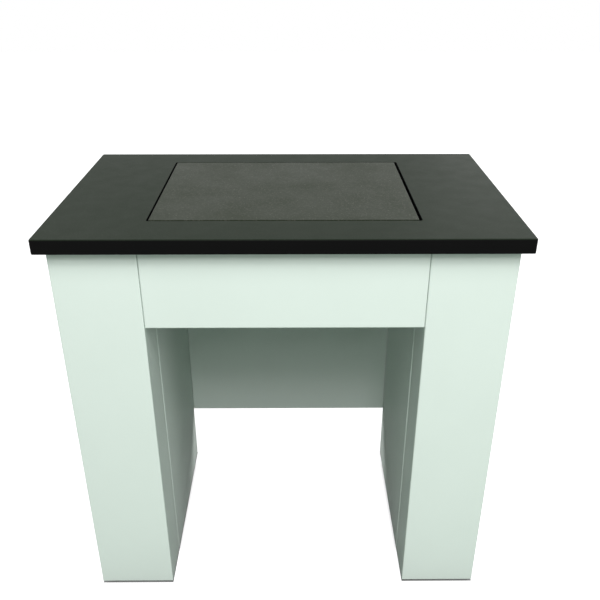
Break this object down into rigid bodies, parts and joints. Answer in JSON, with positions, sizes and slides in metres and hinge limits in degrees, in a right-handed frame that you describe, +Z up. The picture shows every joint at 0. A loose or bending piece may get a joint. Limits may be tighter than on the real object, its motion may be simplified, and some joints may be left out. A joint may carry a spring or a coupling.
{
  "type": "weighing balance table",
  "caption": "Anti-vibration weighing table: dark worktop on two steel pedestals, with a stone slab let into it that floats on rubber mounts apart from the worktop; levelling feet.",
  "frame": {"origin": "on the floor under the middle of the worktop", "axes": "+X to the right along the worktop's width, +Y to the back, +Z up"},
  "size_m": [0.9, 0.6, 0.85],
  "materials": {
    "coated_steel": "smooth off-white powder coat with a faint green tint, semi-gloss",
    "frame_paint": "matt grey primer paint on welded steel",
    "dark_board": "near-black solid laminate board, fine matt grain",
    "dark_stone": "honed near-black granite, fine speckle",
    "zinc_steel": "bright zinc plate",
    "rubber": "matt moulded rubber",
    "black_nylon": "matt moulded nylon"
  },
  "bodies": {
    "table": {"worktop": "dark_board", "front_beam": "frame_paint", "rear_beam": "frame_paint", "front_apron": "coated_steel", "back_panel": "coated_steel", "left_pedestal_shell": "coated_steel", "left_access_panel": "coated_steel", "left_beam_plate": "coated_steel", "left_frame": "frame_paint", "left_base_plate": "frame_paint", "left_top_plate": "frame_paint", "right_pedestal_shell": "coated_steel", "right_access_panel": "coated_steel", "right_beam_plate": "coated_steel", "right_frame": "frame_paint", "right_base_plate": "frame_paint", "right_top_plate": "frame_paint", "mount_rubber_front_left": "rubber", "mount_base_front_left": "zinc_steel", "mount_lower_nut_front_left": "zinc_steel", "foot_nut_front_left": "zinc_steel", "mount_rubber_front_right": "rubber", "mount_base_front_right": "zinc_steel", "mount_lower_nut_front_right": "zinc_steel", "foot_nut_front_right": "zinc_steel", "mount_rubber_rear_left": "rubber", "mount_base_rear_left": "zinc_steel", "mount_lower_nut_rear_left": "zinc_steel", "foot_nut_rear_left": "zinc_steel", "mount_rubber_rear_right": "rubber", "mount_base_rear_right": "zinc_steel", "mount_lower_nut_rear_right": "zinc_steel", "foot_nut_rear_right": "zinc_steel"},
    "floating_slab": {"weighing_slab": "dark_stone", "slab_tray": "frame_paint", "slab_pad_front_left": "rubber", "slab_pad_front_right": "rubber", "slab_pad_rear_left": "rubber", "slab_pad_rear_right": "rubber", "mount_cap_front_left": "zinc_steel", "mount_cap_front_right": "zinc_steel", "mount_cap_rear_left": "zinc_steel", "mount_cap_rear_right": "zinc_steel", "mount_top_nut_front_left": "zinc_steel", "mount_top_nut_front_right": "zinc_steel", "mount_top_nut_rear_left": "zinc_steel", "mount_top_nut_rear_right": "zinc_steel"},
    "front_left_foot": {"foot_pad_front_left": "black_nylon"},
    "front_left_screw": {"foot_screw_front_left": "zinc_steel"},
    "front_right_foot": {"foot_pad_front_right": "black_nylon"},
    "front_right_screw": {"foot_screw_front_right": "zinc_steel"},
    "rear_left_foot": {"foot_pad_rear_left": "black_nylon"},
    "rear_left_screw": {"foot_screw_rear_left": "zinc_steel"},
    "rear_right_foot": {"foot_pad_rear_right": "black_nylon"},
    "rear_right_screw": {"foot_screw_rear_right": "zinc_steel"}
  },
  "joints": [
    {"name": "slab_float", "type": "slide", "parent": "table", "child": "floating_slab", "axis": [0, 0, 1], "range_m": [-0.005, 0.0025], "stiffness_N_per_m": 110000, "springref_m": 0.00248, "deforming": ["mount_rubber_front_left", "mount_rubber_front_right", "mount_rubber_rear_left", "mount_rubber_rear_right"]},
    {"name": "front_left_height", "type": "slide", "parent": "table", "child": "front_left_foot", "axis": [0, 0, -1], "range_m": [0, 0.02]},
    {"name": "front_left_turn", "type": "hinge", "parent": "front_left_foot", "child": "front_left_screw", "pos_m": [-0.3485, -0.23, 0.02], "axis": [0, 0, -1], "range_deg": [0, 4800]},
    {"name": "front_right_height", "type": "slide", "parent": "table", "child": "front_right_foot", "axis": [0, 0, -1], "range_m": [0, 0.02]},
    {"name": "front_right_turn", "type": "hinge", "parent": "front_right_foot", "child": "front_right_screw", "pos_m": [0.3485, -0.23, 0.02], "axis": [0, 0, -1], "range_deg": [0, 4800]},
    {"name": "rear_left_height", "type": "slide", "parent": "table", "child": "rear_left_foot", "axis": [0, 0, -1], "range_m": [0, 0.02]},
    {"name": "rear_left_turn", "type": "hinge", "parent": "rear_left_foot", "child": "rear_left_screw", "pos_m": [-0.3485, 0.18, 0.02], "axis": [0, 0, -1], "range_deg": [0, 4800]},
    {"name": "rear_right_height", "type": "slide", "parent": "table", "child": "rear_right_foot", "axis": [0, 0, -1], "range_m": [0, 0.02]},
    {"name": "rear_right_turn", "type": "hinge", "parent": "rear_right_foot", "child": "rear_right_screw", "pos_m": [0.3485, 0.18, 0.02], "axis": [0, 0, -1], "range_deg": [0, 4800]}
  ],
  "couplings": [
    {"joint": "front_left_turn", "follows": "front_left_height", "rad_per_m": 4188.8},
    {"joint": "front_right_turn", "follows": "front_right_height", "rad_per_m": 4188.8},
    {"joint": "rear_left_turn", "follows": "rear_left_height", "rad_per_m": 4188.8},
    {"joint": "rear_right_turn", "follows": "rear_right_height", "rad_per_m": 4188.8}
  ]
}
